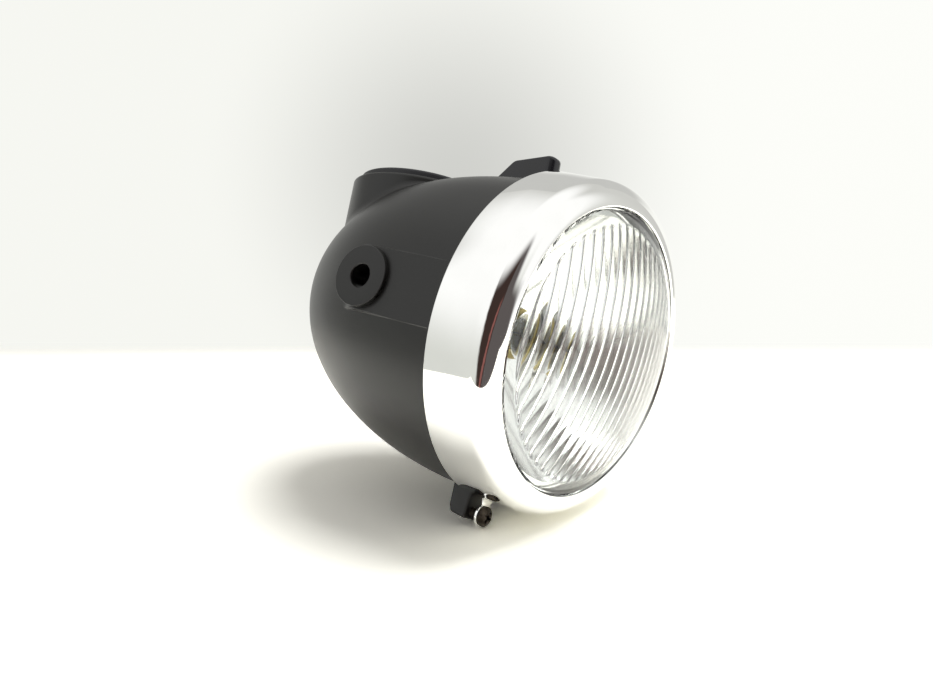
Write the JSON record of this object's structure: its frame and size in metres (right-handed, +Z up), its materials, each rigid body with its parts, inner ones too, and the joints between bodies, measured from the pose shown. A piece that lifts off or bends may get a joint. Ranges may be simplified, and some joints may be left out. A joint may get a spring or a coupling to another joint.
{
  "type": "motorcycle headlight",
  "caption": "Egg-shaped black motorcycle headlight with chrome rim, vertically fluted glass, side fork bosses, speedometer collar and a turning light switch on top.",
  "frame": {"origin": "halfway between the two fork bolt holes, on the optical axis", "axes": "+Z up as the lamp hangs between the fork ears, the glass looks along -Y, +X runs along the line of the fork bolts"},
  "size_m": [0.13, 0.1466, 0.148],
  "materials": {
    "housing": "satin black moulding",
    "black_rubber": "smooth",
    "rim_chrome": "polished",
    "dark_steel": "blackened",
    "clear_glass": "clear pressed glass",
    "mirror_coat": "bright vacuum coat",
    "bulb_glass": "clear blown glass",
    "brass": "plain",
    "filament": "drawn wire",
    "zinc_steel": "zinc plated",
    "fibre_board": "hard paper board",
    "switch_plastic": "moulded",
    "knob_plastic": "semi-gloss black"
  },
  "bodies": {
    "lamp": {"housing_shell": "housing", "speedometer_seal": "black_rubber", "cable_grommet": "black_rubber", "chrome_rim": "rim_chrome", "rim_screw": "dark_steel", "lens": "clear_glass", "lens_gasket": "black_rubber", "reflector": "mirror_coat", "reflector_clip_1": "zinc_steel", "reflector_clip_2": "zinc_steel", "reflector_clip_3": "zinc_steel", "reflector_clip_4": "zinc_steel", "bulb_glass": "bulb_glass", "bulb_base": "brass", "bulb_filament": "filament", "bulb_holder": "zinc_steel", "holder_insulator": "fibre_board", "holder_spring": "zinc_steel", "holder_contact_1": "brass", "holder_contact_2": "brass", "switch_body": "switch_plastic", "switch_cover": "fibre_board", "switch_screw_1": "zinc_steel", "switch_screw_2": "zinc_steel", "switch_terminal_1": "brass", "switch_terminal_2": "brass", "switch_terminal_3": "brass"},
    "switch": {"switch_rotor": "switch_plastic", "switch_bridge": "brass", "switch_knob": "knob_plastic"}
  },
  "joints": [
    {"name": "switch_turn", "type": "hinge", "parent": "lamp", "child": "switch", "pos_m": [0, -0.018, 0.05906], "axis": [0, 0.1392, 0.9903], "range_deg": [-45, 45]}
  ]
}
